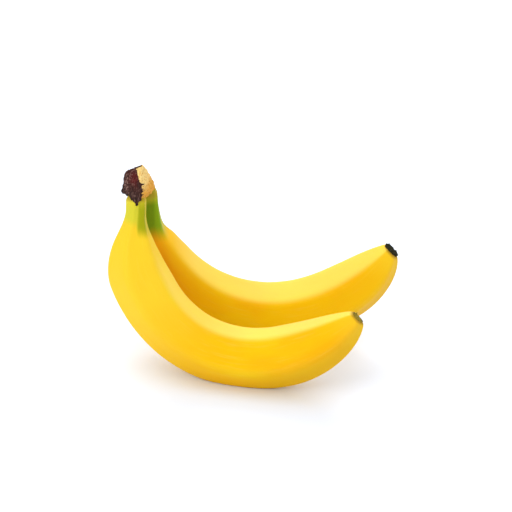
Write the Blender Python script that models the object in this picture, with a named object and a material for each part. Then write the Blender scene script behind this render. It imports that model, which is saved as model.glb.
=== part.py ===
"""A bunch of two bananas on one crown, resting on its two bellies with the tips up.

Metres, +Z up. The origin is on the surface, under the middle of the bunch. +X runs from the necks
to the tips, and +Y runs from the front banana to the back one.
"""

import math
from dataclasses import dataclass

import bmesh
import bpy
from mathutils import Vector

GAP = 0.0003  # left between two pieces that grew together

# Mesh density
RINGS = 40  # cross-sections along one banana
SIDES = 24  # points round one cross-section
STEPS_PER_RING = 10  # finer steps that the middle line is added up in
SHARP_ANGLE = math.radians(50)  # edges steeper than this stay crisp
PLANE_TOLERANCE = 1e-7

# Cross-section of a banana: five rounded faces, measured round from the inner side of the curve
FACE_ANGLES = tuple(math.radians(angle) for angle in (0, 74, -74, 136, -136))
FACE_SHARPNESS = 8.0  # higher gives flatter faces and sharper ridges

# Neck of a banana
NECK_STUB = 0.005  # straight length of neck inside the crown
NECK_BEND_AT = 0.10  # share of the length where the neck meets the body
NECK_BEND_WIDTH = 0.07
TAPER_FULLNESS = 0.75  # below 1 keeps the body full until close to the tip


@dataclass(frozen=True)
class Finger:
    """The driving dimensions of one banana: metres, and radians for angles."""

    name: str
    neck_end: Vector  # where the neck leaves the crown
    yaw: float  # turn of the curve's plane about +Z
    lean: float  # lean of the curve's plane away from the front
    length: float  # along the middle of the banana
    start_heading: float  # of the neck, up from +X
    turn: float  # that the heading makes from neck to tip
    bends: tuple  # how unevenly the turn is spread: by half, whole and one and a half waves
    neck_bend: float  # extra bend where the neck meets the body
    neck_radius: float
    body_radius: float
    tip_radius: float
    flare: tuple  # shares of the length where the neck starts and ends its growth to the body
    taper_start: float  # share of the length
    taper_power: float
    tip_offset: float  # how far the taper pulls the tip to the inner side, as a share of what it loses


FRONT = Finger(
    name="front_banana",
    neck_end=Vector((-0.0683, -0.0101, 0.0997)),
    yaw=math.radians(-4.8),
    lean=math.radians(9.0),
    length=0.1929,
    start_heading=math.radians(-83.1),
    turn=math.radians(134.8),
    bends=(-0.175, -0.333, -0.080),
    neck_bend=math.radians(15.2),
    neck_radius=0.0047,
    body_radius=0.0155,
    tip_radius=0.0038,
    flare=(0.039, 0.240),
    taper_start=0.753,
    taper_power=1.9,
    tip_offset=-0.06,
)
BACK = Finger(
    name="back_banana",
    neck_end=Vector((-0.0635, 0.0061, 0.0966)),
    yaw=math.radians(7.3),
    lean=math.radians(-7.8),
    length=0.2104,
    start_heading=math.radians(-86.1),
    turn=math.radians(135.4),
    bends=(0.150, -0.228, 0.151),
    neck_bend=math.radians(15.7),
    neck_radius=0.0051,
    body_radius=0.0157,
    tip_radius=0.0041,
    flare=(0.0, 0.263),
    taper_start=0.785,
    taper_power=1.9,
    tip_offset=0.60,
)

# Crown: outlines from its skirt round the necks up to its cut top. Each is a long rounded one:
# the middle and the reach of its front end, then the same of its back end.
CROWN_ROWS = (
    (Vector((-0.0684, -0.0103, 0.0986)), 0.0069, Vector((-0.0636, 0.0063, 0.0986)), 0.0066),
    (Vector((-0.0697, -0.0089, 0.1043)), 0.0070, Vector((-0.0648, 0.0057, 0.1043)), 0.0064),
    (Vector((-0.0705, -0.0069, 0.1118)), 0.0058, Vector((-0.0671, 0.0037, 0.1093)), 0.0052),
    (Vector((-0.0699, -0.0055, 0.1160)), 0.0039, Vector((-0.0670, 0.0023, 0.1120)), 0.0034),
)
CROWN_END_POINTS = 9  # round each end of an outline

# Dried flower ends: (distance past the tip's face, share of the tip's radius) from base to end
FRONT_TIP_PROFILE = ((0.0, 0.93), (0.0007, 0.97), (0.0013, 0.86), (0.0016, 0.25), (0.0027, 0.17))
BACK_TIP_PROFILE = ((0.0, 0.98), (0.0006, 1.10), (0.0016, 1.08), (0.0023, 0.90), (0.0025, 0.50))
TIP_SIDES = 16
TIP_LOBES = 5
TIP_LOBE_SIZE = 0.05

# Colour, roughness of each finish
PEEL = ((0.93, 0.66, 0.05, 1.0), 0.42)
CROWN_SKIN = ((0.14, 0.07, 0.04, 1.0), 0.85)
DRIED_TIP = ((0.07, 0.06, 0.03, 1.0), 0.90)


def clear_scene():
    for thing in list(bpy.data.objects):
        bpy.data.objects.remove(thing, do_unlink=True)


def make_material(name, finish):
    colour, roughness = finish
    material = bpy.data.materials.new(name)
    material.use_nodes = True
    shader = material.node_tree.nodes["Principled BSDF"]
    shader.inputs["Base Color"].default_value = colour
    shader.inputs["Roughness"].default_value = roughness
    shader.inputs["Metallic"].default_value = 0.0
    return material


def smooth_step(share):
    share = min(max(share, 0.0), 1.0)
    return share * share * (3.0 - 2.0 * share)


def heading(finger, share):
    """Direction of the middle line at a share of the length, as an angle up from +X."""
    share = max(share, 0.0)
    waves = sum(
        size * math.sin(count * math.pi * share) / (count * math.pi)
        for count, size in enumerate(finger.bends, start=1)
    )
    neck = math.exp(-(((share - NECK_BEND_AT) / NECK_BEND_WIDTH) ** 2))
    return finger.start_heading + finger.turn * (share + waves) - finger.neck_bend * neck


def radius(finger, share):
    """Mean radius of the cross-section at a share of the length."""
    flare_start, flare_end = finger.flare
    grown = smooth_step((share - flare_start) / (flare_end - flare_start))
    body = finger.neck_radius + (finger.body_radius - finger.neck_radius) * grown
    if share <= finger.taper_start:
        return body
    along = (share - finger.taper_start) / (1.0 - finger.taper_start)
    left = max(1.0 - along**finger.taper_power, 0.0) ** TAPER_FULLNESS
    return finger.tip_radius + (body - finger.tip_radius) * left


def face_distance(angle):
    """Distance from the middle to the five-sided outline, before its mean is made 1."""
    faces = (max(math.cos(angle - face), 0.0) ** FACE_SHARPNESS for face in FACE_ANGLES)
    return sum(faces) ** (-1.0 / FACE_SHARPNESS)


RING_ANGLES = tuple(math.tau * side / SIDES for side in range(SIDES))
MEAN_DISTANCE = sum(face_distance(angle) for angle in RING_ANGLES) / SIDES


def plane_of(finger):
    """The curve's plane: its forward, upward and side directions."""
    forward = Vector((math.cos(finger.yaw), math.sin(finger.yaw), 0.0))
    level_side = Vector((math.sin(finger.yaw), -math.cos(finger.yaw), 0.0))
    up = Vector((0.0, 0.0, 1.0))
    side = level_side * math.cos(finger.lean) + up * math.sin(finger.lean)
    upward = up * math.cos(finger.lean) - level_side * math.sin(finger.lean)
    return forward, upward, side


def stations(finger):
    """(share, middle point, tangent, inner normal) of every cross-section, from neck to tip."""
    forward, upward, _ = plane_of(finger)

    def tangent(share):
        angle = heading(finger, share)
        return forward * math.cos(angle) + upward * math.sin(angle)

    def inner(share):
        angle = heading(finger, share)
        return upward * math.cos(angle) - forward * math.sin(angle)

    stub_start = finger.neck_end - tangent(0.0) * NECK_STUB
    rows = [(0.0, stub_start, tangent(0.0), inner(0.0))]
    middle = finger.neck_end.copy()
    step = 1.0 / (RINGS * STEPS_PER_RING)
    for ring in range(RINGS + 1):
        share = ring / RINGS
        lost = max(finger.body_radius - radius(finger, share), 0.0)
        pull = finger.tip_offset * lost if share > finger.taper_start else 0.0
        rows.append((share, middle + inner(share) * pull, tangent(share), inner(share)))
        for count in range(STEPS_PER_RING):
            middle = middle + tangent(share + (count + 0.5) * step) * (step * finger.length)
    return rows


def finger_rings(finger, grow=0.0):
    """Lists of points round each cross-section. grow moves the skin and the neck's end out."""
    _, _, side = plane_of(finger)
    rings = []
    for index, (share, middle, tangent, inner) in enumerate(stations(finger)):
        size = radius(finger, share) + grow
        centre = middle - tangent * grow if index == 0 else middle
        rings.append(
            [
                centre
                + (inner * math.cos(angle) + side * math.sin(angle))
                * (size * face_distance(angle) / MEAN_DISTANCE)
                for angle in RING_ANGLES
            ]
        )
    return rings


def loft(name, rings):
    """One closed object: rings of equal count joined by quads, with a flat cap at each end."""
    mesh = bmesh.new()
    loops = [[mesh.verts.new(point) for point in ring] for ring in rings]
    for lower, upper in zip(loops, loops[1:]):
        for corner in range(len(lower)):
            after = (corner + 1) % len(lower)
            mesh.faces.new((lower[corner], lower[after], upper[after], upper[corner]))
    mesh.faces.new(loops[0][::-1])
    mesh.faces.new(loops[-1])
    bmesh.ops.recalc_face_normals(mesh, faces=mesh.faces)
    data = bpy.data.meshes.new(name)
    mesh.to_mesh(data)
    mesh.free()
    thing = bpy.data.objects.new(name, data)
    bpy.context.scene.collection.objects.link(thing)
    return thing


def rest_on_surface(banana):
    """Cut the soft belly flat where it rests on the surface."""
    mesh = bmesh.new()
    mesh.from_mesh(banana.data)
    bmesh.ops.bisect_plane(
        mesh,
        geom=mesh.verts[:] + mesh.edges[:] + mesh.faces[:],
        dist=PLANE_TOLERANCE,
        plane_co=(0.0, 0.0, 0.0),
        plane_no=(0.0, 0.0, 1.0),
        clear_inner=True,
    )
    rim = [edge for edge in mesh.edges if edge.is_boundary]
    for edge in rim:
        for vertex in edge.verts:
            vertex.co.z = 0.0
    bmesh.ops.contextual_create(mesh, geom=rim)
    bmesh.ops.recalc_face_normals(mesh, faces=mesh.faces)
    mesh.to_mesh(banana.data)
    mesh.free()


def finish(thing, material):
    thing.data.materials.append(material)
    thing.data.shade_smooth()
    thing.data.set_sharp_from_angle(angle=SHARP_ANGLE)


def make_banana(finger):
    """The fruit with its neck."""
    banana = loft(finger.name, finger_rings(finger))
    rest_on_surface(banana)
    finish(banana, make_material(finger.name + "_peel", PEEL))


def crown_outline(front, front_reach, back, back_reach):
    """Points round a row of the crown, anticlockwise from above."""
    along = (back - front).to_2d().normalized()
    points = []
    for middle, reach, ahead in ((front, front_reach, -along), (back, back_reach, along)):
        for count in range(CROWN_END_POINTS):
            turn = math.pi * (count / (CROWN_END_POINTS - 1) - 0.5)
            out = Vector(
                (
                    ahead.x * math.cos(turn) - ahead.y * math.sin(turn),
                    ahead.x * math.sin(turn) + ahead.y * math.cos(turn),
                    0.0,
                )
            )
            points.append(middle + out * reach)
    return points


def make_crown():
    """The dried cushion, with a socket round each neck."""
    crown = loft("crown", [crown_outline(*row) for row in CROWN_ROWS])
    finish(crown, make_material("crown_skin", CROWN_SKIN))
    for finger in (FRONT, BACK):
        cutter = loft(finger.name + "_neck_cutter", finger_rings(finger, grow=GAP))
        cutter.hide_render = True
        cutter.display_type = "WIRE"
        socket = crown.modifiers.new(finger.name + "_socket", "BOOLEAN")
        socket.operation = "DIFFERENCE"
        socket.solver = "EXACT"
        socket.object = cutter


def make_blossom_tip(name, finger, profile):
    """The dried remains of the flower on the tip of a banana."""
    _, _, side = plane_of(finger)
    _, middle, tangent, inner = stations(finger)[-1]
    rings = []
    for distance, share in profile:
        centre = middle + tangent * (GAP + distance)
        ring = []
        for corner in range(TIP_SIDES):
            angle = math.tau * corner / TIP_SIDES
            lobe = 1.0 + TIP_LOBE_SIZE * math.cos(TIP_LOBES * angle)
            reach = finger.tip_radius * share * lobe
            ring.append(centre + (inner * math.cos(angle) + side * math.sin(angle)) * reach)
        rings.append(ring)
    tip = loft(name, rings)
    finish(tip, make_material(name + "_dried", DRIED_TIP))


def main():
    clear_scene()
    make_banana(FRONT)
    make_banana(BACK)
    make_crown()
    make_blossom_tip("front_blossom_tip", FRONT, FRONT_TIP_PROFILE)
    make_blossom_tip("back_blossom_tip", BACK, BACK_TIP_PROFILE)


main()
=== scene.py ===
"""The finish of a bunch of two bananas: waxy peel, dried crown and dried blossom tips.

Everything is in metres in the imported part's own frame. +X runs from the necks to the tips, and +Y
runs from the front banana to the back one.
"""

import math

import bmesh
import bpy
from bpy.props import FloatProperty, FloatVectorProperty, IntProperty, PointerProperty
from bpy.types import Operator, Panel, PropertyGroup
from mathutils import Matrix, Quaternion, Vector, noise


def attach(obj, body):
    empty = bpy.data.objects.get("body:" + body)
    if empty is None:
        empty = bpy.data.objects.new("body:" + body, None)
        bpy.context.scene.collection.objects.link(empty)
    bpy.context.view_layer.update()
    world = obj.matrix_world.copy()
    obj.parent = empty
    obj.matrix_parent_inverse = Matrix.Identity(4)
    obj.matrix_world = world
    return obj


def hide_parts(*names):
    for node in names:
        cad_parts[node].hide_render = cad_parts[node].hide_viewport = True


bl_info = {
    "name": "Bunch of Bananas",
    "version": (1, 0, 0),
    "blender": (4, 5, 0),
    "location": "3D View > Sidebar > Bananas",
    "description": "Builds two bananas on one crown, with their peel, crown and blossom tips",
    "category": "Add Mesh",
}

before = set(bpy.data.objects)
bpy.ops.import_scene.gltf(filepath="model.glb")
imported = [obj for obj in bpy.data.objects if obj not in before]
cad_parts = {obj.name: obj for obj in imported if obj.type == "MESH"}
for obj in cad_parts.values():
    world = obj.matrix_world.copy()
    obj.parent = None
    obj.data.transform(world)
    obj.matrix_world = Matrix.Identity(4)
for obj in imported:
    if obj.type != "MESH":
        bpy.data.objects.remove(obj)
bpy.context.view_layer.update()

BODY = "root"
MM = 0.001

# Cross-section of a banana: five rounded faces, measured round from the inner side of the curve
FACE_ANGLES = tuple(math.radians(angle) for angle in (0, 74, -74, 136, -136))
RIDGE_ANGLES = tuple(math.radians(angle) for angle in (37, -37, 105, -105, 180))
FACE_SHARPNESS = 10.0  # higher gives flatter faces and sharper ridges
RIDGE_FINENESS = 160.0  # higher gives a narrower line of pale peel along each ridge
MEAN_SAMPLES = 360  # points round the outline that its mean distance is taken from

# Shape of the neck and the taper
NECK_STUB = 3 * MM  # straight length of neck inside the crown
NECK_TOP = 0.68  # share of its width that the neck keeps at its end inside the crown
NECK_SHOULDER = 0.024  # share of the length over which it widens from there
NECK_BEND_AT = 0.10  # share of the length where the neck meets the body
NECK_BEND_WIDTH = 0.07
TAPER_FULLNESS = 0.75  # below 1 keeps the body full until close to the tip
FILL_PLACES = (0.12, 0.17, 0.22)  # shares of the length where the inner side fills out or in
FILL_WIDTH = 0.038  # reach of each fill along the banana, as a share of the length
SOFT_CONTACT = 0.5 * MM  # how gently a belly turns up from the surface it rests on

# Mesh density
RAIL_POINTS = 401
TUBE_RINGS = 380
TUBE_SIDES = 120
TUBE_END_RINGS = 3


# ---- settings; each of the functions makes one that a user can change


def number_setting(name, description, default, **limits):
    """A plain number."""
    return FloatProperty(name=name, description=description, default=default, **limits)


def length_setting(name, description, default, low=-1.0):
    """A length in metres."""
    return number_setting(name, description, default, min=low, subtype="DISTANCE", precision=5)


def angle_setting(name, description, degrees):
    """An angle, given in degrees."""
    return number_setting(name, description, math.radians(degrees), subtype="ANGLE")


def share_setting(name, description, default, most=1.0):
    """A share, from 0 up to the most that it may be."""
    return number_setting(name, description, default, min=0.0, max=most, subtype="FACTOR")


def vector_setting(name, description, default, **limits):
    """Three numbers."""
    limits["size"] = 3
    return FloatVectorProperty(name=name, description=description, default=default, **limits)


def place_setting(name, description, default, subtype="TRANSLATION"):
    """A place, or three lengths, in metres."""
    limits = {"subtype": subtype, "unit": "LENGTH", "precision": 4}
    return vector_setting(name, description, default, **limits)


def colour_setting(name, description, default):
    """A colour."""
    return vector_setting(name, description, default, min=0.0, max=1.0, subtype="COLOR")


class FingerSettings(PropertyGroup):
    """Size and neck colour of one banana."""

    neck_end: place_setting("Neck end", "Where the neck leaves the crown", (-0.0683, -0.0101, 0.0997))
    yaw: angle_setting("Yaw", "Turn of the curve's plane about the vertical", -4.8)
    lean: angle_setting("Lean", "Lean of the curve's plane away from the front", 9.0)
    length: length_setting("Length", "Length along the middle of the banana", 0.1929, low=0.05)
    start_heading: angle_setting("Start heading", "Direction of the neck, up from the level", -83.1)
    turn: angle_setting("Turn", "How much the banana curves from neck to tip", 134.8)
    bends: vector_setting(
        "Bends",
        "How unevenly the turn is spread, by half, whole and one and a half waves",
        (-0.175, -0.333, -0.080),
    )
    neck_bend: angle_setting("Neck bend", "Extra bend where the neck meets the body", 15.2)
    neck_radius: length_setting("Neck radius", "Mean radius of the neck", 0.0047, low=0.001)
    body_radius: length_setting("Body radius", "Mean radius of the body", 0.0155, low=0.002)
    tip_radius: length_setting("Tip radius", "Mean radius of the tip", 0.0038, low=0.001)
    flare_start: share_setting("Flare start", "Share of the length where the neck starts to widen", 0.039)
    flare_end: share_setting("Flare end", "Share of the length where the body has its full width", 0.240)
    taper_start: share_setting(
        "Taper start", "Share of the length where the body starts to narrow", 0.753, most=0.99
    )
    taper_power: number_setting("Taper power", "Higher keeps the body wide for longer", 1.9, min=0.5)
    tip_offset: number_setting("Tip offset", "How far the taper pulls the tip to the inner side", -0.06)
    fills: place_setting(
        "Fills",
        "How far the inner side stands out at three places below the neck",
        (0.0014, 0.0, -0.0013),
        subtype="XYZ",
    )
    neck_swell: length_setting("Neck swell", "How far the outer side of the neck stands out", 0.0010)
    inner_fill: length_setting("Inner fill", "How far the inner side of the body stands out", 0.0002)
    relief: length_setting("Relief", "Height of the uneven swells of the peel", 0.00022, low=0.0)
    seed: IntProperty(name="Seed", description="Picks where swells and marks of the peel lie", default=3)
    # The two neck colours are the neck's green and, in the darker of them, painted shade: on the front
    # banana's inner side and on the back banana's outer side
    neck_colour_and_shade: colour_setting("Neck colour", "Peel colour of the neck", (0.64, 0.57, 0.03))
    inner_neck_colour_and_shade: colour_setting("Neck shade", "Peel colour of the neck's inner side", (0.33, 0.34, 0.002))
    green_end: share_setting(
        "Green end", "Share of the length where the neck's green has faded to yellow", 0.092
    )
    green_reach: number_setting(
        "Green reach",
        "How much farther the green reaches on the inner side, as a share of the length",
        0.022,
    )
    green_split: number_setting(
        "Green split",
        "Where the inner side's own green starts: 0 at the middle, 1 at the inner face",
        0.05,
    )
    # Blushing is riper peel and painted shade: on the back banana it paints the shade that the front
    # banana casts below the neck
    blush_and_shade: share_setting("Blush", "How much riper the peel is between the neck and the middle", 0.0)


BACK_FINGER = {
    "neck_end": (-0.0635, 0.0061, 0.0966),
    "yaw": math.radians(7.3),
    "lean": math.radians(-7.8),
    "length": 0.2104,
    "start_heading": math.radians(-86.1),
    "turn": math.radians(135.4),
    "bends": (0.150, -0.228, 0.151),
    "neck_bend": math.radians(15.7),
    "neck_radius": 0.0051,
    "body_radius": 0.0157,
    "tip_radius": 0.0041,
    "flare_start": 0.0,
    "flare_end": 0.263,
    "taper_start": 0.785,
    "tip_offset": 0.60,
    "seed": 11,
    "fills": (0.0, 0.0011, 0.0),
    "inner_fill": 0.0005,
    "neck_swell": 0.0,
    # the back neck's darker green is partly painted shade between the bananas
    "neck_colour_and_shade": (0.145, 0.235, 0.001),
    "inner_neck_colour_and_shade": (0.22, 0.36, 0.006),
    "green_end": 0.146,
    "green_reach": 0.0,
    "green_split": 0.34,
    # the back banana blushes fully, which is partly painted shade from the front banana
    "blush_and_shade": 1.0,
}


class PeelSettings(PropertyGroup):
    """Colours that both bananas share."""

    ripe: colour_setting("Ripe yellow", "Main colour of the peel", (0.87, 0.56, 0.001))
    # Warm yellow also paints the shade on the lower, outer side near the neck
    warm: colour_setting("Warm yellow", "Colour of the riper swells of the peel", (0.87, 0.46, 0.001))
    # Pale yellow also paints the sheen on the inner face
    pale: colour_setting(
        "Pale yellow", "Colour of the thin streaks, the ridges and the inner face", (0.90, 0.675, 0.125)
    )
    # Amber is riper peel, and also the painted shade on the back banana between the neck and the middle
    amber: colour_setting(
        "Amber", "Colour of the ripest peel, between the neck and the middle", (0.80, 0.33, 0.001)
    )
    # Underside yellow is painted shade: the darker peel on the lower, outer side of the curve
    underside_shade: colour_setting(
        "Underside yellow", "Colour of the peel on the outer side of the curve", (0.74, 0.45, 0.001)
    )
    # Lemon yellow also paints the highlight along the green neck's inner edge
    lemon: colour_setting(
        "Lemon yellow",
        "Colour of the peel that ripens last, by the neck and the tip",
        (0.88, 0.63, 0.035),
    )
    freckle: colour_setting("Freckle brown", "Colour of the small freckles", (0.30, 0.15, 0.02))


class CrownSettings(PropertyGroup):
    """Size of the crown's folds, and its colours."""

    grain: length_setting("Grain", "Depth of the dried folds", 0.0005, low=0.0)
    bark: colour_setting("Bark", "Colour of the dried skin", (0.042, 0.012, 0.008))
    bark_light: colour_setting(
        "Bark highlights", "Colour of the fibres that stand out of the dried skin", (0.36, 0.20, 0.16)
    )
    bark_red: colour_setting(
        "Red bark", "Colour of the dark red band of the dried skin", (0.11, 0.006, 0.005)
    )
    char: colour_setting(
        "Blackened edge",
        "Colour of the lower edge and the darkest patches of the dried skin",
        (0.016, 0.006, 0.004),
    )
    speck: colour_setting(
        "Specks", "Colour of the dark specks between the cut fibres", (0.30, 0.14, 0.04)
    )
    pith: colour_setting("Pith", "Colour of the cut fibres", (0.93, 0.70, 0.27))
    pith_brown: colour_setting(
        "Browned pith", "Colour of the cut fibres that have browned", (0.74, 0.36, 0.045)
    )


class TipSettings(PropertyGroup):
    """Colours of the dried blossom tips."""

    husk: colour_setting("Husk", "Colour of the dried flower remains", (0.020, 0.019, 0.008))
    husk_crumbs: colour_setting("Husk crumbs", "Colour of their lighter crumbs", (0.10, 0.09, 0.035))
    scar: colour_setting(
        "Scar", "Colour of the bare scar where the flower has dropped off", (0.30, 0.22, 0.02)
    )
    scar_crumbs: colour_setting("Scar crumbs", "Colour of its darker crumbs", (0.13, 0.09, 0.02))


class StageSettings(PropertyGroup):
    """Camera, floor and light."""

    aim: place_setting("Aim", "Point that the camera looks at", (-0.0009, -0.0101, 0.0706))
    distance: length_setting("Distance", "From the camera to the point that it looks at", 1.0)
    elevation: angle_setting("Elevation", "How far the camera looks down", 26.0)
    roll: angle_setting("Roll", "Turn of the camera about its own axis", 5.0)
    lens: number_setting("Lens", "Focal length in millimetres", 126.35, subtype="DISTANCE_CAMERA")
    overhead_strength: number_setting(
        "Overhead strength", "Strength of the broad light overhead", 0.57, min=0.0
    )
    key_strength: number_setting("Key strength", "Strength of the light at the upper left", 0.72, min=0.0)
    rear_strength: number_setting(
        "Rear strength",
        "Strength of the light behind, which gives the upper faces their sheen",
        1.5,
        min=0.0,
    )
    sky: number_setting("Sky", "Strength of the even light from all round", 0.86, min=0.0)


class BunchSettings(PropertyGroup):
    """All settings of the bunch."""

    front: PointerProperty(type=FingerSettings, name="Front banana", description="Front banana")
    back: PointerProperty(type=FingerSettings, name="Back banana", description="Back banana")
    peel: PointerProperty(type=PeelSettings, name="Peel", description="Peel colours")
    crown: PointerProperty(type=CrownSettings, name="Crown", description="Crown settings")
    tips: PointerProperty(type=TipSettings, name="Tips", description="Blossom tip colours")
    stage: PointerProperty(type=StageSettings, name="Stage", description="Camera and light")


# ---- node trees as expressions


def find_socket(sockets, key):
    """The socket in use that has this name or place."""
    if isinstance(key, int):
        return sockets[key]
    for socket in sockets:
        if socket.enabled and socket.name == key:
            return socket
    raise KeyError(f"no socket {key!r} among {[socket.name for socket in sockets]}")


def number_method(operation):
    """A method of Wire that adds a Math node."""
    return lambda self, *others: self._math(operation, self, *others)


def vector_method(operation):
    """A method of Wire that adds a Vector Math node."""
    return lambda self, *others: self._vector(operation, self, *others)


class Wire:
    """A node's output socket that Python's operators work on."""

    def __init__(self, tree, socket):
        self.tree = tree
        self.socket = socket

    def _math(self, operation, *values):
        return self.tree.add("ShaderNodeMath", {"operation": operation}, dict(enumerate(values)))

    def _vector(self, operation, *values):
        return self.tree.add("ShaderNodeVectorMath", {"operation": operation}, dict(enumerate(values)))

    def _either(self, operation, left, right):
        kinds = (side.socket.type for side in (left, right) if isinstance(side, Wire))
        run = self._vector if "VECTOR" in kinds else self._math
        return run(operation, left, right)

    def __add__(self, other):
        return self._either("ADD", self, other)

    def __radd__(self, other):
        return self._either("ADD", other, self)

    def __sub__(self, other):
        return self._either("SUBTRACT", self, other)

    def __rsub__(self, other):
        return self._either("SUBTRACT", other, self)

    def __mul__(self, other):
        if self.socket.type == "VECTOR":
            sockets = {0: self, "Scale": other}
            return self.tree.add("ShaderNodeVectorMath", {"operation": "SCALE"}, sockets)
        return self._math("MULTIPLY", self, other)

    def __rmul__(self, other):
        return self * other

    def __rtruediv__(self, other):
        return self._math("DIVIDE", other, self)

    def __rpow__(self, other):
        return self._math("POWER", other, self)

    def __neg__(self):
        return self * -1.0

    __truediv__ = number_method("DIVIDE")
    __pow__ = number_method("POWER")
    __gt__ = number_method("GREATER_THAN")
    __lt__ = number_method("LESS_THAN")
    sin = number_method("SINE")
    cos = number_method("COSINE")
    exp = number_method("EXPONENT")
    sqrt = number_method("SQRT")
    at_least = number_method("MAXIMUM")
    at_most = number_method("MINIMUM")
    angle_from = number_method("ARCTAN2")
    cross = vector_method("CROSS_PRODUCT")
    times = vector_method("MULTIPLY")

    def rise(self, start, end, low=0.0, high=1.0):
        """Smooth change from low at start to high at end."""
        sockets = {"Value": self, "From Min": start, "From Max": end, "To Min": low, "To Max": high}
        return self.tree.add("ShaderNodeMapRange", {"interpolation_type": "SMOOTHSTEP"}, sockets)

    def parts(self):
        """The x, y and z of a vector."""
        return self.tree.add("ShaderNodeSeparateXYZ", {}, {0: self}, give=("X", "Y", "Z"))


class Tree:
    """A node tree that is filled by one method and by expressions."""

    def __init__(self, node_tree):
        self.node_tree = node_tree

    def add(self, kind, settings=None, sockets=None, give=None):
        """Adds a node and returns the named output, several of them, or the first in use."""
        node = self.node_tree.nodes.new(kind)
        for name, value in (settings or {}).items():
            setattr(node, name, value)
        for key, value in (sockets or {}).items():
            socket = find_socket(node.inputs, key)
            if isinstance(value, Wire):
                self.node_tree.links.new(value.socket, socket)
            else:
                socket.default_value = value
        if isinstance(give, tuple):
            return tuple(Wire(self, find_socket(node.outputs, name)) for name in give)
        if give is not None:
            return Wire(self, find_socket(node.outputs, give))
        outputs = [socket for socket in node.outputs if socket.enabled]
        return Wire(self, outputs[0]) if outputs else None

    def combine(self, x, y, z):
        return self.add("ShaderNodeCombineXYZ", {}, {"X": x, "Y": y, "Z": z})

    def attribute(self, name, give="Fac"):
        """What the mesh stores under this name."""
        return self.add("ShaderNodeAttribute", {"attribute_name": name}, give=give)

    def noise(self, vector, scale, detail=2.0, roughness=0.5):
        """Noise from 0 to 1; the scale is in lumps to a metre."""
        sockets = {"Vector": vector, "Scale": scale, "Detail": detail, "Roughness": roughness}
        return self.add("ShaderNodeTexNoise", {}, sockets, give="Fac")

    def blend(self, share, first, second):
        """Mix of two colours."""
        settings = {"data_type": "RGBA", "blend_type": "MIX"}
        sockets = {"Factor": share}
        for key, colour in (("A", first), ("B", second)):
            sockets[key] = colour if isinstance(colour, Wire) else (*colour, 1.0)
        return self.add("ShaderNodeMix", settings, sockets, give="Result")

    def coats(self, colour, *coats):
        """A colour with others laid over it in turn, each by its share."""
        for share, coat in coats:
            colour = self.blend(share, colour, coat)
        return colour

    def bump(self, height, strength, depth):
        """Normal of a surface with this height, full height being this deep in metres."""
        sockets = {"Strength": strength, "Distance": depth, "Height": height}
        return self.add("ShaderNodeBump", {}, sockets, give="Normal")


def new_material(name, constants):
    """A material with its Principled shader's fixed values, its tree and the shader node."""
    material = bpy.data.materials.new(name)
    material.use_nodes = True
    shader = material.node_tree.nodes["Principled BSDF"]
    for key, value in constants.items():
        shader.inputs[key].default_value = value
    return material, Tree(material.node_tree), shader


def plug(tree, shader, **links):
    """Links wires to the shader: Base_Color=wire and so on."""
    for name, wire in links.items():
        tree.node_tree.links.new(wire.socket, shader.inputs[name.replace("_", " ")])


# ---- objects


def add_object(name, data):
    """A new object in the scene."""
    thing = bpy.data.objects.new(name, data)
    bpy.context.scene.collection.objects.link(thing)
    return thing


def take_mesh(shape, name):
    """Mesh data from a bmesh, which is freed."""
    data = bpy.data.meshes.new(name)
    shape.to_mesh(data)
    shape.free()
    return data


def store(mesh, name, values):
    """Keeps one number for each vertex, for a material to read."""
    mesh.attributes.new(name, "FLOAT", "POINT").data.foreach_set("value", values)


def flatten(thing, name):
    """Turns what the modifiers make into the object's own mesh."""
    evaluated = thing.evaluated_get(bpy.context.evaluated_depsgraph_get())
    mesh = bpy.data.meshes.new_from_object(evaluated)
    if not mesh.polygons:
        raise RuntimeError(f"{name} came out empty")
    mesh.name = name
    thing.modifiers.clear()
    thing.data = mesh
    return thing


def settle(piece, node):
    """The piece stands for a node of the part and rides on its body."""
    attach(piece, BODY)
    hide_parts(node)


# ---- peel

# Marks of the peel, to a metre
PEEL_SWELLS = 45.0
PEEL_STREAKS = 900.0
PEEL_PORES = 2600.0
PEEL_SPOTS = 420.0

# Shares of the length between which the peel's colours change
# along the length, the amber of a blushing banana, with its painted shade, fades out between the first
# pair
RIPEST_AND_SHADED_FADES = (0.16, 0.50)
FRESHEST_FADES = (0.25, 0.60)
# shares between which the painted shade on the lower side turns from warm to darker
UNDERSIDE_DULLS = (0.60, 0.85)
TIP_RIPENS = (0.55, 0.90)
SHEEN_COMES = (0.12, 0.32)
FRECKLES_COME = (0.12, 0.30)
STALK_PALES = (0.0, 0.032)
STALK_BROWNS = (0.0, 0.012)
TIP_PALES = (0.90, 1.0)
TIP_BROWNS = (0.992, 1.0)
GREEN_FADES = 0.60  # share of the green neck that stays fully green

# The same across a banana, from -1 at the outer ridge to 1 at the inner face
# across, that amber with its painted shade is strongest on the outer side and weakest on the inner face
RIPEST_AND_SHADED_SIDE = (0.2, 0.9)
# across which the painted shade on the lower, outer side fades out
OUTER_SIDE = (-0.9, -0.2)
SHEEN_SIDE = (0.73, 0.85)
# across which the painted highlight on the neck's inner edge comes in
NECK_EDGE_HIGHLIGHT_SIDE = (0.86, 0.98)
GREEN_SPLIT_WIDTH = 0.36


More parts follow.
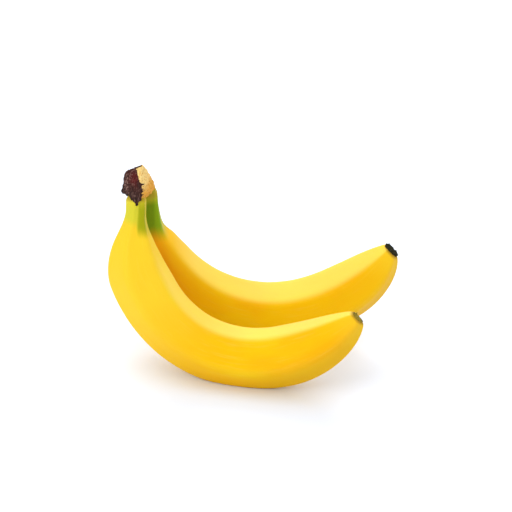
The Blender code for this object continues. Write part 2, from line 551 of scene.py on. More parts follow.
def make_peel(name, finger, peel):
    """Waxy peel: green neck, ripe body, faint streaks, ridges and a few freckles."""
    material, tree, shader = new_material(
        name,
        {
            "Subsurface Weight": 0.06,
            "Subsurface Radius": (1.0, 0.45, 0.08),
            "Subsurface Scale": 0.004,
            "Specular IOR Level": 0.07,
        },
    )
    skin = tree.attribute("skin", give="Vector")
    along = tree.attribute("along")
    ridge = tree.attribute("ridge")
    shifted = skin + tree.combine(finger.seed * 0.137, 0.0, 0.0)
    swells = tree.noise(shifted.times((1.0, 1.0, 0.45)), PEEL_SWELLS, detail=3.0)
    streaks = tree.noise(shifted.times((1.0, 1.0, 0.06)), PEEL_STREAKS, detail=4.0, roughness=0.65)
    pores = tree.noise(shifted, PEEL_PORES)
    spots = tree.noise(shifted.times((1.0, 1.0, 0.7)), PEEL_SPOTS, detail=3.0, roughness=0.55)

    # a banana that blushes is riper below the neck, and least so on its inner face; on the back banana
    # this amber is partly painted shade, where the front banana shades it
    inward = skin.parts()[0] / finger.body_radius
    ripest_and_shaded = along.rise(*RIPEST_AND_SHADED_FADES, 1.0, 0.0) * inward.rise(*RIPEST_AND_SHADED_SIDE, 1.0, 0.35)
    # painted shade on the lower side: warm near the neck and middle, darker towards the tip
    under = tree.blend(along.rise(*UNDERSIDE_DULLS), peel.warm, peel.underside_shade)
    # painted sheen: the inner face is painted paler from below the neck onward
    sheen = inward.rise(*SHEEN_SIDE, 0.0, 0.55) * along.rise(*SHEEN_COMES)

    # green fades out of the neck unevenly, and lasts longer on the inner side
    inner = inward.rise(finger.green_split, finger.green_split + GREEN_SPLIT_WIDTH)
    fade = along + (swells - 0.5) * 0.03 + (streaks - 0.5) * 0.014 - inner * finger.green_reach
    green = fade.rise(finger.green_end * GREEN_FADES, finger.green_end, 1.0, 0.0)
    # the darker of the neck's two colours is partly painted shade, on the side that lies in shade
    patch = (inner * 0.9 + (swells - 0.5) * 0.35 + (streaks - 0.5) * 0.4).at_most(1.0)
    neck = tree.blend(patch.at_least(0.0), finger.neck_colour_and_shade, finger.inner_neck_colour_and_shade)

    # the very end of the neck browns, and so does a thin ring round the dried flower
    stalk_brown = (along + (streaks - 0.5) * 0.01).rise(*STALK_BROWNS, 0.45, 0.0)
    tip_lemon = (along + (swells - 0.5) * 0.04).rise(*TIP_PALES)
    tip_brown = (along + (streaks - 0.5) * 0.006).rise(*TIP_BROWNS)
    freckles = spots.rise(0.735, 0.80) * along.rise(*FRECKLES_COME)

    colour = tree.coats(
        peel.ripe,
        (swells.rise(0.35, 0.68), peel.warm),
        (streaks.rise(0.50, 0.80) * 0.25, peel.pale),
        (ridge * 0.06, peel.pale),
        # amber of a blushing banana: riper peel and painted shade where the front banana shades the back
        # one
        (ripest_and_shaded * finger.blush_and_shade, peel.amber),
        # painted shade on the lower, outer side of the curve
        (inward.rise(*OUTER_SIDE, 0.9, 0.0), under),
        (along.rise(*TIP_RIPENS) * 0.30, peel.amber),
        (along.rise(*FRESHEST_FADES, 0.6 * (1.0 - finger.blush_and_shade), 0.0), peel.lemon),
        # painted sheen on the inner face
        (sheen, peel.pale),
        (green, neck),
        # painted highlight: a lemon strip along the green neck's inner edge
        (inward.rise(*NECK_EDGE_HIGHLIGHT_SIDE, 0.0, 0.5) * green, peel.lemon),
        (along.rise(*STALK_PALES, 0.35, 0.0), peel.lemon),
        (stalk_brown, peel.freckle),
        (tip_lemon * 0.3, peel.lemon),
        (tip_brown * 0.7, peel.freckle),
        (freckles * 0.45, peel.freckle),
    )
    rough = 0.54 + (streaks - 0.5) * 0.16 + (pores - 0.5) * 0.08 + freckles * 0.2
    height = pores * 0.35 + streaks * 0.55 + swells * 0.4
    normal = tree.bump(height, 0.18, 0.12 * MM)
    plug(tree, shader, Base_Color=colour, Roughness=rough, Normal=normal)
    return material


# ---- bananas

VECTOR_INPUTS = ("neck_end", "bends", "fills")
NUMBER_INPUTS = (
    "yaw lean length start_heading turn neck_bend neck_radius body_radius tip_radius "
    "flare_start flare_end taper_start taper_power tip_offset inner_fill neck_swell relief"
).split()
FINGER_INPUTS = {
    **dict.fromkeys(VECTOR_INPUTS, "NodeSocketVector"),
    **dict.fromkeys(NUMBER_INPUTS, "NodeSocketFloat"),
    "seed": "NodeSocketInt",
}
FULL_BODY = ((0.10, 0.20), (0.90, 1.0))  # shares of the length where the inner fill comes and goes
NECK_SIDE_END = (0.05, 0.13)  # shares between which the swell of the neck's outer side ends
NECK_RIBS_END = (0.04, 0.18)  # shares between which the neck's fine ribs fade out
SWELLS = 60.0  # to a metre
SWELL_HEIGHT = 2.2  # times the relief
RIBS = 260.0  # to a metre
RIB_HEIGHTS = (0.35, 1.2)  # on the body, and how much more on the neck, times the relief


def face_distance(angle):
    """Distance from the middle to the five-sided outline, before its mean is made 1."""
    faces = (max(math.cos(angle - face), 0.0) ** FACE_SHARPNESS for face in FACE_ANGLES)
    return sum(faces) ** (-1.0 / FACE_SHARPNESS)


def mean_distance():
    """Mean of that distance all round."""
    angles = (math.tau * sample / MEAN_SAMPLES for sample in range(MEAN_SAMPLES))
    return sum(face_distance(angle) for angle in angles) / MEAN_SAMPLES


def make_finger_tree(material):
    """Node tree that bends a tube along the curve of a banana and shapes its section."""
    group = bpy.data.node_groups.new("banana_finger", "GeometryNodeTree")
    group.interface.new_socket("Geometry", in_out="OUTPUT", socket_type="NodeSocketGeometry")
    for name, kind in FINGER_INPUTS.items():
        group.interface.new_socket(name, in_out="INPUT", socket_type=kind)
    tree = Tree(group)
    names = tuple(FINGER_INPUTS)
    given = dict(zip(names, tree.add("NodeGroupInput", give=names)))

    # directions of the plane that the banana curves in
    yaw, lean = given["yaw"], given["lean"]
    forward = tree.combine(yaw.cos(), yaw.sin(), 0.0)
    level_side = tree.combine(yaw.sin(), -yaw.cos(), 0.0)
    up = tree.combine(0.0, 0.0, 1.0)
    side = level_side * lean.cos() + up * lean.sin()
    upward = up * lean.cos() - level_side * lean.sin()
    bends = given["bends"].parts()

    def tangent(share):
        inside = share.at_least(0.0)
        waves = inside
        for count, bend in enumerate(bends, start=1):
            waves = waves + bend * (inside * (count * math.pi)).sin() / (count * math.pi)
        off = (inside - NECK_BEND_AT) / NECK_BEND_WIDTH
        neck = (-(off * off)).exp()
        angle = given["start_heading"] + given["turn"] * waves - given["neck_bend"] * neck
        return forward * angle.cos() + upward * angle.sin()

    # rail: the middle line, added up step by step from inside the crown to the tip
    first_share = -NECK_STUB / given["length"]
    span = 1.0 - first_share
    step = span / (RAIL_POINTS - 1)
    index = tree.add("GeometryNodeInputIndex")
    stride = tangent(first_share + (index + 0.5) * step) * (given["length"] * step)
    settings = {"data_type": "FLOAT_VECTOR"}
    walked = tree.add("GeometryNodeAccumulateField", settings, {"Value": stride}, give="Trailing")
    start = given["neck_end"] - tangent(first_share) * NECK_STUB
    line = tree.add("GeometryNodeCurvePrimitiveLine")
    rail = tree.add("GeometryNodeResampleCurve", {}, {"Curve": line, "Count": RAIL_POINTS})
    rail = tree.add("GeometryNodeSetPosition", {}, {"Geometry": rail, "Position": start + walked})

    # tube: x and y go round the section, z goes along the rail
    settings = {"fill_type": "TRIANGLE_FAN"}
    sockets = {
        "Vertices": TUBE_SIDES,
        "Side Segments": TUBE_RINGS,
        "Fill Segments": TUBE_END_RINGS,
        "Radius": 1.0,
        "Depth": 1.0,
    }
    tube = tree.add("GeometryNodeMeshCylinder", settings, sockets, give="Mesh")
    x, y, z = tree.add("GeometryNodeInputPosition").parts()
    factor = z + 0.5
    share = first_share + span * factor
    reach = (x * x + y * y).sqrt()
    angle = y.angle_from(x)
    radius = given["body_radius"]
    skin = tree.combine(x * radius, y * radius, share * given["length"])
    ridge = 0.0
    for place in RIDGE_ANGLES:
        ridge = (angle - place).cos().at_least(0.0) ** RIDGE_FINENESS + ridge

    for name, kind, value in (
        ("skin", "FLOAT_VECTOR", skin),
        ("along", "FLOAT", share),
        ("ridge", "FLOAT", ridge),
    ):
        sockets = {"Geometry": tube, "Name": name, "Value": value}
        tube = tree.add("GeometryNodeStoreNamedAttribute", {"data_type": kind}, sockets)

    # radius along the banana
    grown = share.rise(given["flare_start"], given["flare_end"])
    body = given["neck_radius"] + (given["body_radius"] - given["neck_radius"]) * grown
    tapered = (share - given["taper_start"]) / (1.0 - given["taper_start"])
    tapered = tapered.at_least(0.0).at_most(1.0)
    left = (1.0 - tapered ** given["taper_power"]).at_least(0.0) ** TAPER_FULLNESS
    shoulder = factor.rise(0.0, NECK_SHOULDER, NECK_TOP, 1.0)
    size = (given["tip_radius"] + (body - given["tip_radius"]) * left) * shoulder

    # section with five rounded faces
    faces = 0.0
    for place in FACE_ANGLES:
        faces = (angle - place).cos().at_least(0.0) ** FACE_SHARPNESS + faces
    section = faces ** (-1.0 / FACE_SHARPNESS) / mean_distance()

    # slow swells on the body, and fine ribs on the neck
    seeded = skin + tree.combine(given["seed"] * 0.371, 0.0, 0.0)
    swell = tree.noise(seeded.times((1.0, 1.0, 0.5)), SWELLS) - 0.5
    rib = tree.noise(seeded.times((1.0, 1.0, 0.12)), RIBS) - 0.5
    on_neck = share.rise(*NECK_RIBS_END, 1.0, 0.0)
    rib_height = RIB_HEIGHTS[0] + on_neck * RIB_HEIGHTS[1]
    relief = given["relief"] * (swell * SWELL_HEIGHT + rib * rib_height)

    # fills of the inner side, and a swell of the neck's outer side
    on_body = share.rise(*FULL_BODY[0]) * share.rise(*FULL_BODY[1], 1.0, 0.0)
    fill = given["inner_fill"] * on_body
    for centre, amount in zip(FILL_PLACES, given["fills"].parts()):
        off = (share - centre) / FILL_WIDTH
        fill = fill + amount * (-(off * off)).exp()
    filled = fill * angle.cos().at_least(0.0)
    neck_side = share.rise(*NECK_SIDE_END, 1.0, 0.0) * (-angle.cos()).at_least(0.0)
    filled = filled + given["neck_swell"] * neck_side
    distance = (size * section + relief + filled) * reach

    sockets = {"Curves": rail, "Factor": factor}
    outputs = ("Position", "Tangent")
    middle, along_rail = tree.add("GeometryNodeSampleCurve", {"mode": "FACTOR"}, sockets, give=outputs)
    inner = side.cross(along_rail)
    lost = (given["body_radius"] - size).at_least(0.0)
    pull = given["tip_offset"] * lost * (share > given["taper_start"])
    place = middle + inner * pull + (inner * angle.cos() + side * angle.sin()) * distance
    across, deep, high = place.parts()
    soft = (high + (high * high + SOFT_CONTACT * SOFT_CONTACT).sqrt()) * 0.5
    sockets = {"Geometry": tube, "Position": tree.combine(across, deep, soft)}
    tube = tree.add("GeometryNodeSetPosition", {}, sockets)
    tube = tree.add("GeometryNodeSetShadeSmooth", {}, {"Geometry": tube, "Shade Smooth": True})
    tube = tree.add("GeometryNodeRealizeInstances", {}, {"Geometry": tube})
    tube = tree.add("GeometryNodeSetMaterial", {}, {"Geometry": tube, "Material": material})
    tree.add("NodeGroupOutput", {}, {"Geometry": tube})
    return group


def run_tree(name, group, values):
    """Object whose mesh is the result of a node tree with these input values."""
    thing = add_object(name, bpy.data.meshes.new(name + "_start"))
    modifier = thing.modifiers.new("shape", "NODES")
    modifier.node_group = group
    for item in group.interface.items_tree:
        if item.item_type == "SOCKET" and item.in_out == "INPUT" and item.name in values:
            modifier[item.identifier] = values[item.name]
    return flatten(thing, name)


def make_finger(node, finger, peel):
    """One banana, from its settings."""
    material = make_peel(node + "_peel", finger, peel)
    group = make_finger_tree(material)
    values = {}
    for name in FINGER_INPUTS:
        value = getattr(finger, name)
        values[name] = tuple(value) if name in VECTOR_INPUTS else value
    piece = run_tree(node + "_skin", group, values)
    settle(piece, node)
    return piece


class BUNCH_OT_make_bananas(Operator):
    """Make the two bananas with their necks"""

    bl_idname = "bunch.make_bananas"
    bl_label = "Make Bananas"

    def execute(self, context):
        bunch = context.scene.bunch
        make_finger("front_banana", bunch.front, bunch.peel)
        make_finger("back_banana", bunch.back, bunch.peel)
        return {"FINISHED"}


# ---- crown

# Corners of the crown, in millimetres from the end of the front neck
UPPER_LEFT = Vector((-7.9, 2.7, 14.0))
LEFT_NIB = Vector((-9.2, -0.9, 3.8))
FLAP = Vector((-0.1, -5.2, -2.7))  # dried skin that hangs down the front neck
CROWN_CORNERS = (
    UPPER_LEFT,
    (1.0, 4.4, 18.3),  # peak
    LEFT_NIB,
    FLAP,
    (-4.6, -5.6, 5.0),  # swell of the dried front over the neck
    (0.8, -6.0, 6.0),
    (5.0, -1.4, 4.6),  # right of the front neck
    (3.7, 13.6, 10.2),  # upper right of the cut fibres
    (8.2, 16.5, -1.0),  # right of the back neck
    (6.6, 21.6, 0.8),  # behind the back neck
    (-0.5, 21.0, 1.5),
    (-6.5, 9.5, 2.5),  # left side between the necks
    (2.0, 17.5, 10.0),  # back edge of the cut top
    (-4.5, 9.5, 12.0),  # left edge of the cut top
)
CROWN_VOXEL = 0.3 * MM
CROWN_SMOOTHING = 3

# Noise in the crown's material, to a metre
CROWN_FIBRES = 1400.0
CROWN_CRUMBS = 1100.0
CROWN_BLOTCHES = 330.0

# Marks on the crown, in the millimetres of its corners
SKIN_REACH = 2.6  # how far right the dried skin comes
SKIN_BEND = 7.0  # height above which it draws back to the left
SKIN_LEAN = 0.52  # how fast it draws back
SKIN_TOOTH = ((9.0, 0.0), 0.6, 1.5)  # height, half width and length of a tooth in its border
SKIN_BLUR = 0.35
TOP_SLOPE = 0.48  # of the upper edge, from the upper left corner to the peak
TOP_RIM = (-1.0, -0.6)  # below that edge
TOP_RIM_END = 0.9  # how far right the rim of dried skin comes
BROWNING = (3.5, 11.0)  # heights between which the cut fibres brown
RED_BAND = ((-2.4, 11.5), 3.2)  # middle and reach
WORN_LEFT = (2.5, 5.5)  # distances to the left
WORN_HEIGHT = (3.5, 6.5)
WORN_SPOT = ((-0.5, 2.5), 2.5)
FRONT_DEPTH = (-4.0, 2.0)  # depths between which the front turns into the back
FLAP_SLOPE = 0.72  # of the lower edge, on both sides of the flap
BACK_EDGE = 1.2  # height of the lower edge at the back
EDGE_BLACK = (0.4, 1.9)  # heights above the lower edge between which its black fades
NIB_BLACK = ((-9.2, 3.0), 2.4)
RAGGED_HEIGHT = 6.0  # the lower edge is ragged up to here
NOTCH = ((-4.6, 0.0), 1.3, 1.5)  # place, reach and depth of the notch beside the flap
NIB = ((-8.8, 3.0), 1.9)
NIB_DEPTH = (1.0, 4.0)
NIB_PULL = Vector((-0.6, 0.0, -0.5))


def make_crown_material(crown):
    """Dried skin with a red band and worn fibres, beside pale cut fibres that brown lower down."""
    material, tree, shader = new_material("crown_skin", {"Specular IOR Level": 0.2})
    spot = tree.add("ShaderNodeTexCoord", give="Object")
    fibres = tree.noise(spot.times((1.0, 1.0, 0.16)), CROWN_FIBRES, detail=4.0, roughness=0.65)
    crumbs = tree.noise(spot, CROWN_CRUMBS, detail=4.0, roughness=0.6)
    blotches = tree.noise(spot, CROWN_BLOTCHES)

    light = (fibres.rise(0.50, 0.66) * (0.30 + tree.attribute("worn") * 0.70)).at_most(1.0)
    bark = tree.coats(
        crown.bark,
        (tree.attribute("red") * 0.9, crown.bark_red),
        (light, crown.bark_light),
        (blotches.rise(0.50, 0.62) * 0.5, crown.char),
        (tree.attribute("edge") * 0.9, crown.char),
    )
    pith = tree.coats(
        crown.pith,
        (tree.attribute("low"), crown.pith_brown),
        (fibres.rise(0.40, 0.64, 0.0, 0.65), crown.pith_brown),
        (crumbs.rise(0.55, 0.65, 0.0, 0.7), crown.speck),
    )
    border = tree.attribute("dried") + (fibres - 0.5) * 0.5 + (crumbs - 0.5) * 0.3
    colour = tree.blend(border.rise(0.42, 0.58), pith, bark)
    normal = tree.bump(fibres + crumbs * 0.5, 0.7, 0.35 * MM)
    plug(tree, shader, Base_Color=colour, Roughness=0.62 + crumbs * 0.25, Normal=normal)
    return material


def smooth_step(value, start, end):
    """Smooth change from 0 at start to 1 at end."""
    share = min(max((value - start) / (end - start), 0.0), 1.0)
    return share * share * (3.0 - 2.0 * share)


def swell(across, deep, centre, width):
    """Round swell: 1 at its centre, and fading over its width."""
    off = (across - centre[0]) ** 2 + (deep - centre[1]) ** 2
    return math.exp(-off / (width * width))


def crown_block(neck_end):
    """The crown's bulk: the hull of its corners, rounded."""
    hull = bmesh.new()
    for corner in CROWN_CORNERS:
        hull.verts.new(neck_end + Vector(corner) * MM)
    bmesh.ops.convex_hull(hull, input=hull.verts)
    block = add_object("crown_skin", take_mesh(hull, "crown_block"))
    remesh = block.modifiers.new("remesh", "REMESH")
    remesh.mode = "VOXEL"
    remesh.voxel_size = CROWN_VOXEL
    smooth = block.modifiers.new("smooth", "SMOOTH")
    smooth.iterations = CROWN_SMOOTHING
    return flatten(block, "crown_skin")


def dried_share(spot):
    """1 on the crown's dried skin, 0 on its cut fibres."""
    at, width, length = SKIN_TOOTH
    border = SKIN_REACH - SKIN_LEAN * max(spot.z - SKIN_BEND, 0.0)
    border += length * swell(spot.z, 0.0, at, width) + 0.8 * noise.noise(spot * 1.1)
    front = smooth_step(border - spot.x, -SKIN_BLUR, SKIN_BLUR)
    below_top = spot.z - UPPER_LEFT.z - TOP_SLOPE * (spot.x - UPPER_LEFT.x)
    return max(front, smooth_step(below_top, *TOP_RIM) * (spot.x < TOP_RIM_END))


def crown_marks(spot):
    """What the crown's material reads at one place, each from 0 to 1."""
    dried = dried_share(spot)
    worn = smooth_step(-spot.x, *WORN_LEFT) * smooth_step(spot.z, *WORN_HEIGHT)
    behind = smooth_step(spot.y, *FRONT_DEPTH)
    front_edge = FLAP.z + FLAP_SLOPE * abs(spot.x - FLAP.x)
    above_edge = spot.z - front_edge * (1.0 - behind) - BACK_EDGE * behind
    edge = dried * (1.0 - smooth_step(above_edge, *EDGE_BLACK))
    return {
        "dried": dried,
        "edge": max(edge, swell(spot.x, spot.z, *NIB_BLACK)),
        "low": 1.0 - smooth_step(spot.z, *BROWNING),
        "red": swell(spot.x, spot.z, *RED_BAND),
        "worn": max(worn, 0.7 * swell(spot.x, spot.z, *WORN_SPOT)),
    }


def crown_shift(spot, normal, grain):
    """How the fibres, the ragged lower edge and the nib move one place of the crown."""
    folds = noise.fractal(Vector((spot.x * 0.9, spot.y * 0.9, spot.z * 0.14)), 1.0, 2.1, 4)
    crumple = noise.noise(spot * 0.7)
    shift = normal * (folds * grain + crumple * grain * 0.8)
    behind = smooth_step(spot.y, *FRONT_DEPTH)
    at, width, depth = NOTCH
    ragged = noise.noise(Vector((spot.x * 0.8, spot.y * 0.8, 4.0))) * 0.8 * MM
    ragged += depth * MM * swell(spot.x, 0.0, at, width) * (1.0 - behind)
    shift += Vector((0.0, 0.0, ragged * (1.0 - smooth_step(spot.z, 0.0, RAGGED_HEIGHT))))
    nib = swell(spot.x, spot.z, *NIB) * (1.0 - smooth_step(spot.y, *NIB_DEPTH))
    return shift + NIB_PULL * MM * nib


def shape_crown(block, neck_end, grain):
    """Folds along the fibres, a ragged lower edge, and the marks that the material reads."""
    mesh = block.data
    spots = [(vertex.co - neck_end) / MM for vertex in mesh.vertices]
    moved = [
        vertex.co + crown_shift(spot, vertex.normal, grain)
        for vertex, spot in zip(mesh.vertices, spots)
    ]
    marks = [crown_marks(spot) for spot in spots]
    for vertex, place in zip(mesh.vertices, moved):
        vertex.co = place
    for name in marks[0]:
        store(mesh, name, [mark[name] for mark in marks])
    mesh.shade_smooth()


class BUNCH_OT_make_crown(Operator):
    """Make the dried crown that joins the necks"""

    bl_idname = "bunch.make_crown"
    bl_label = "Make Crown"

    def execute(self, context):
        bunch = context.scene.bunch
        neck_end = Vector(bunch.front.neck_end)
        crown = crown_block(neck_end)
        shape_crown(crown, neck_end, bunch.crown.grain)
        crown.data.materials.clear()
        crown.data.materials.append(make_crown_material(bunch.crown))
        settle(crown, "crown")
        return {"FINISHED"}


# ---- blossom tips

TIP_CRUMBS = 1500.0  # to a metre
SCAR_EDGE = (0.74, 0.86)  # shares of the radius between which the bare scar ends
WALL_RIM = 1.2  # rim value on the wall, past the face's 0 to 1
OUTER_SCAR = (1.06, 1.12)  # rim values between which the bare wall starts


def make_tip_material(name, tips, bare):
    """Dried flower: black husk, with a bare olive scar in the middle where bare is 1."""
    material, tree, shader = new_material(name, {"Specular IOR Level": 0.12})
    spot = tree.add("ShaderNodeTexCoord", give="Object")
    crumbs = tree.noise(spot, TIP_CRUMBS, detail=4.0, roughness=0.65)
    husk = tree.blend(crumbs.rise(0.5, 0.75) * 0.7, tips.husk, tips.husk_crumbs)
    scar = tree.blend(crumbs.rise(0.4, 0.7) * 0.6, tips.scar, tips.scar_crumbs)
    uneven = tree.attribute("rim") + (crumbs - 0.5) * 0.22
    open_scar = (uneven.rise(*SCAR_EDGE, 1.0, 0.0) + uneven.rise(*OUTER_SCAR)) * bare
    colour = tree.blend(open_scar, husk, scar)
    normal = tree.bump(crumbs, 0.8, 0.3 * MM)
    plug(tree, shader, Base_Color=colour, Roughness=0.65 + crumbs * 0.3, Normal=normal)
    return material


TIP_SIDES = 120
TIP_WALL_RINGS = 10
TIP_FACE_RINGS = 36
TIP_ROOT = 0.4 * MM  # how far the husk reaches into the peel
TIP_FACE_START = 1.0 - 1e-5  # share of the length where the flat face of a tip begins
LIP_RISE = (0.62, 0.90)  # shares of the radius between which the lip rises
SPIKE_WIDTH = 0.28  # radians, of the spike on the inner side
RAGGED_PITCH = 1.6  # higher gives more points round the rim
CREASE_PITCH = 7.0  # higher gives more creases round the wall
CRUMPLE_PITCH = 2.6  # higher gives a finer crumple of the face
TIP_ANGLES = tuple(math.tau * corner / TIP_SIDES for corner in range(TIP_SIDES))


def tip_frame(banana):
    """Middle, outward, inner and side directions of the flat face at a banana's tip."""
    along = banana.data.attributes["along"].data
    skin = banana.data.attributes["skin"].data
    face = [
        (vertex.co.copy(), Vector(skin[vertex.index].vector))
        for vertex in banana.data.vertices
        if along[vertex.index].value > TIP_FACE_START
    ]
    if not face:
        raise RuntimeError(f"{banana.name} has no flat face at its tip")
    middle = sum((place for place, _ in face), Vector()) / len(face)
    inner = sum(((place - middle) * at.x for place, at in face), Vector()).normalized()
    side = sum(((place - middle) * at.y for place, at in face), Vector()).normalized()
    return middle, inner.cross(side), inner, side


def neighbours(ring):
    """Each corner of a closed ring with the next one."""
    return zip(ring, ring[1:] + ring[:1])


def loft(name, rings, end):
    """One closed mesh: rings joined by quads, the first filled flat and the last drawn to a point."""
    shell = bmesh.new()
    loops = [[shell.verts.new(point) for point in ring] for ring in rings]
    for lower, upper in zip(loops, loops[1:]):
        for below, above in zip(neighbours(lower), neighbours(upper)):
            shell.faces.new((*below, *reversed(above)))
    shell.faces.new(loops[0][::-1])
    last = shell.verts.new(end)
    for corners in neighbours(loops[-1]):
        shell.faces.new((*corners, last))
    bmesh.ops.recalc_face_normals(shell, faces=shell.faces)
    data = take_mesh(shell, name)
    data.shade_smooth()
    return add_object(name, data)


def signed_angle(angle):
    """The same angle between minus and plus half a turn."""
    return (angle + math.pi) % math.tau - math.pi


def face_height(shape, share, angle):
    """Height of a tip's crumpled face, lip and stubs at a share of its radius."""
    across, deep = share * math.cos(angle), share * math.sin(angle)
    spot = Vector((across * CRUMPLE_PITCH, deep * CRUMPLE_PITCH, shape["seed"] + 5.0))
    crumple = noise.fractal(spot, 0.9, 2.1, 4) * shape["crumple"]
    lip = shape["lip"] * smooth_step(share, *LIP_RISE) + shape["slope"] * deep
    stubs = sum(tall * swell(across, deep, centre, width) for centre, width, tall in shape["stubs"])
    return shape["height"] + lip + stubs + crumple


def make_tip(node, banana, shape, material):
    """Dried flower end: a wall round the tip, then a crumpled face with its stubs."""
    middle, outward, inner, side = tip_frame(banana)

    def point(share, angle, height):
        across, deep = math.cos(angle), math.sin(angle)
        spot = Vector((across * RAGGED_PITCH, deep * RAGGED_PITCH, shape["seed"]))
        ragged = 1.0 + shape["ragged"] * noise.fractal(spot, 1.0, 2.0, 4)
        spike = shape["spike"] * math.exp(-((signed_angle(angle) / SPIKE_WIDTH) ** 2))
        reach = (shape["radius"] * ragged + spike) * share
        return middle + (inner * across + side * deep) * reach + outward * height

    def wall_ring(rise):
        bulge = shape["waist"] + (1.0 - shape["waist"]) * math.sin(rise * math.pi / 2)
        row = []
        for angle in TIP_ANGLES:
            height = -TIP_ROOT + (face_height(shape, 1.0, angle) + TIP_ROOT) * rise
            spot = Vector((math.cos(angle) * CREASE_PITCH, math.sin(angle) * CREASE_PITCH, rise * 1.3))
            crease = 1.0 + shape["crease"] * noise.noise(spot)
            row.append(point(bulge * crease, angle, height))
        return row

    def face_ring(share):
        return [point(share, angle, face_height(shape, share, angle)) for angle in TIP_ANGLES]

    shares = [1.0 - ring / TIP_FACE_RINGS for ring in range(TIP_FACE_RINGS)]
    rings = [wall_ring(ring / TIP_WALL_RINGS) for ring in range(TIP_WALL_RINGS)]
    rings += [face_ring(share) for share in shares]
    piece = loft(node + "_husk", rings, middle + outward * face_height(shape, 0.0, 0.0))
    rims = [WALL_RIM] * TIP_WALL_RINGS + shares
    store(piece.data, "rim", [rim for rim in rims for _ in TIP_ANGLES] + [0.0])
    piece.data.materials.append(material)
    settle(piece, node)


# Ragged, crease, waist, and a stub's place and width are shares of the radius
FRONT_TIP = {
    "radius": 3.7 * MM,
    "spike": 0.0,
    "ragged": 0.05,
    "crease": 0.03,
    "waist": 0.95,
    "height": 0.5 * MM,
    "lip": 0.22 * MM,
    "slope": 0.5 * MM,
    "crumple": 0.10 * MM,
    "seed": 2.0,
    "stubs": (((0.52, -0.25), 0.15, 1.5 * MM), ((-0.1, 0.1), 0.10, 0.35 * MM)),
}
BACK_TIP = {
    "radius": 4.3 * MM,
    "spike": 1.3 * MM,
    "ragged": 0.20,
    "crease": 0.10,
    "waist": 0.90,
    "height": 0.9 * MM,
    "lip": 0.45 * MM,
    "slope": 0.4 * MM,
    "crumple": 0.7 * MM,
    "seed": 7.0,
    "stubs": (
        ((0.80, 0.10), 0.16, 0.8 * MM),
        ((0.15, -0.55), 0.20, 0.6 * MM),
        ((-0.45, 0.35), 0.22, 0.5 * MM),
        ((-0.65, -0.35), 0.16, 0.7 * MM),
        ((0.0, 0.05), 0.14, 0.6 * MM),
    ),
}


class BUNCH_OT_make_blossom_tips(Operator):
    """Make the dried flower ends of the bananas"""

    bl_idname = "bunch.make_blossom_tips"
    bl_label = "Make Blossom Tips"

    def execute(self, context):
        tips = context.scene.bunch.tips
        for side, shape, bare in (("front", FRONT_TIP, 1.0), ("back", BACK_TIP, 0.0)):
            banana = bpy.data.objects.get(side + "_banana_skin")
            if banana is None:
                raise RuntimeError("make the bananas before their blossom tips")
            node = side + "_blossom_tip"
            material = make_tip_material(node + "_dried", tips, bare)
            make_tip(node, banana, shape, material)
        return {"FINISHED"}


# ---- stage

FLOOR_RADIUS = 4.0
FLOOR_SIDES = 96
FLOOR_DROP = 0.05 * MM
FLOOR_COLOUR = (0.83, 0.89, 1.0, 1.0)
SENSOR_WIDTH = 36.0  # millimetres

# Where the lights come from, and how wide they are
OVERHEAD_SIDE = (0.0, -0.05, 0.9)
REAR_SIDE = (-0.1, 0.75, 0.5)
KEY_SIDE = (-0.65, -0.5, 0.5)
BROAD_SPREAD = math.radians(53.0)
KEY_SPREAD = math.radians(29.0)


def make_floor():
    """Wide, plain, pale floor just under the bunch."""
    disc = bmesh.new()
    bmesh.ops.create_circle(disc, cap_ends=True, segments=FLOOR_SIDES, radius=FLOOR_RADIUS)
    data = take_mesh(disc, "floor")
    data.transform(Matrix.Translation((0.0, 0.0, -FLOOR_DROP)))
    floor = add_object("floor", data)
    material, _, _ = new_material("floor_white", {"Base Color": FLOOR_COLOUR, "Roughness": 0.9})
    data.materials.append(material)


def make_light(name, side, spread, strength):
    """Even light from one side; the spread softens its shadows."""
    light = bpy.data.lights.new(name, "SUN")
    light.angle = spread
    light.energy = strength
    lamp = add_object(name, light)
    lamp.location = side
    lamp.rotation_mode = "QUATERNION"
    lamp.rotation_quaternion = (-Vector(side)).to_track_quat("-Z", "Y")


def make_world(strength):
    """Even white light from all round."""
    world = bpy.data.worlds.new("even_light")
    world.use_nodes = True
    background = world.node_tree.nodes["Background"]
    background.inputs["Color"].default_value = (1.0, 1.0, 1.0, 1.0)
    background.inputs["Strength"].default_value = strength
    bpy.context.scene.world = world


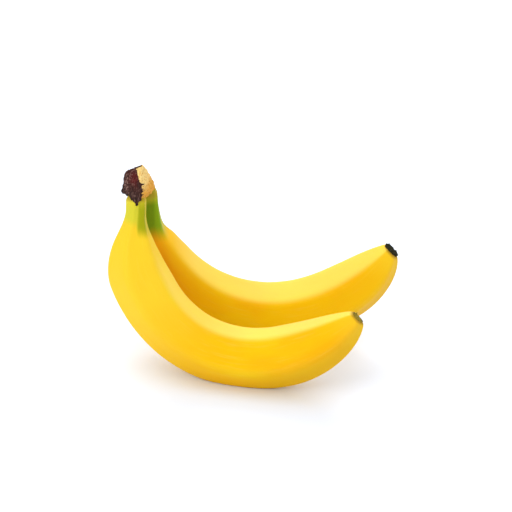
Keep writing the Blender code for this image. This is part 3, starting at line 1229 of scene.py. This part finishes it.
def make_camera(stage):
    """Camera that looks down on the bunch from the front."""
    view = bpy.data.cameras.new("camera")
    view.lens = stage.lens
    view.sensor_width = SENSOR_WIDTH
    camera = add_object("camera", view)
    look = Vector((0.0, math.cos(stage.elevation), -math.sin(stage.elevation)))
    camera.location = Vector(stage.aim) - look * stage.distance
    camera.rotation_mode = "QUATERNION"
    turn = Quaternion((0.0, 0.0, 1.0), stage.roll)
    camera.rotation_quaternion = look.to_track_quat("-Z", "Y") @ turn
    bpy.context.scene.camera = camera


class BUNCH_OT_make_stage(Operator):
    """Make the floor, the lights and the camera"""

    bl_idname = "bunch.make_stage"
    bl_label = "Make Stage"

    def execute(self, context):
        stage = context.scene.bunch.stage
        make_floor()
        make_light("overhead", OVERHEAD_SIDE, BROAD_SPREAD, stage.overhead_strength)
        make_light("rear", REAR_SIDE, BROAD_SPREAD, stage.rear_strength)
        make_light("key", KEY_SIDE, KEY_SPREAD, stage.key_strength)
        make_world(stage.sky)
        make_camera(stage)
        context.scene.view_settings.view_transform = "Standard"
        return {"FINISHED"}


class BUNCH_PT_panel(Panel):
    """Buttons that build the bunch"""

    bl_idname = "BUNCH_PT_panel"
    bl_label = "Bunch of Bananas"
    bl_space_type = "VIEW_3D"
    bl_region_type = "UI"
    bl_category = "Bananas"

    def draw(self, context):
        for operator in OPERATORS:
            self.layout.operator(operator.bl_idname)


OPERATORS = (
    BUNCH_OT_make_bananas,
    BUNCH_OT_make_crown,
    BUNCH_OT_make_blossom_tips,
    BUNCH_OT_make_stage,
)
CLASSES = (
    FingerSettings,
    PeelSettings,
    CrownSettings,
    TipSettings,
    StageSettings,
    BunchSettings,
    *OPERATORS,
    BUNCH_PT_panel,
)


def register():
    for cls in CLASSES:
        bpy.utils.register_class(cls)
    bpy.types.Scene.bunch = PointerProperty(type=BunchSettings, name="Bunch", description="Bunch")


def unregister():
    del bpy.types.Scene.bunch
    for cls in reversed(CLASSES):
        bpy.utils.unregister_class(cls)


def main():
    register()
    back = bpy.context.scene.bunch.back
    for name, value in BACK_FINGER.items():
        setattr(back, name, value)
    bpy.ops.bunch.make_bananas()
    bpy.ops.bunch.make_crown()
    bpy.ops.bunch.make_blossom_tips()
    bpy.ops.bunch.make_stage()


if __name__ == "__main__":
    main()
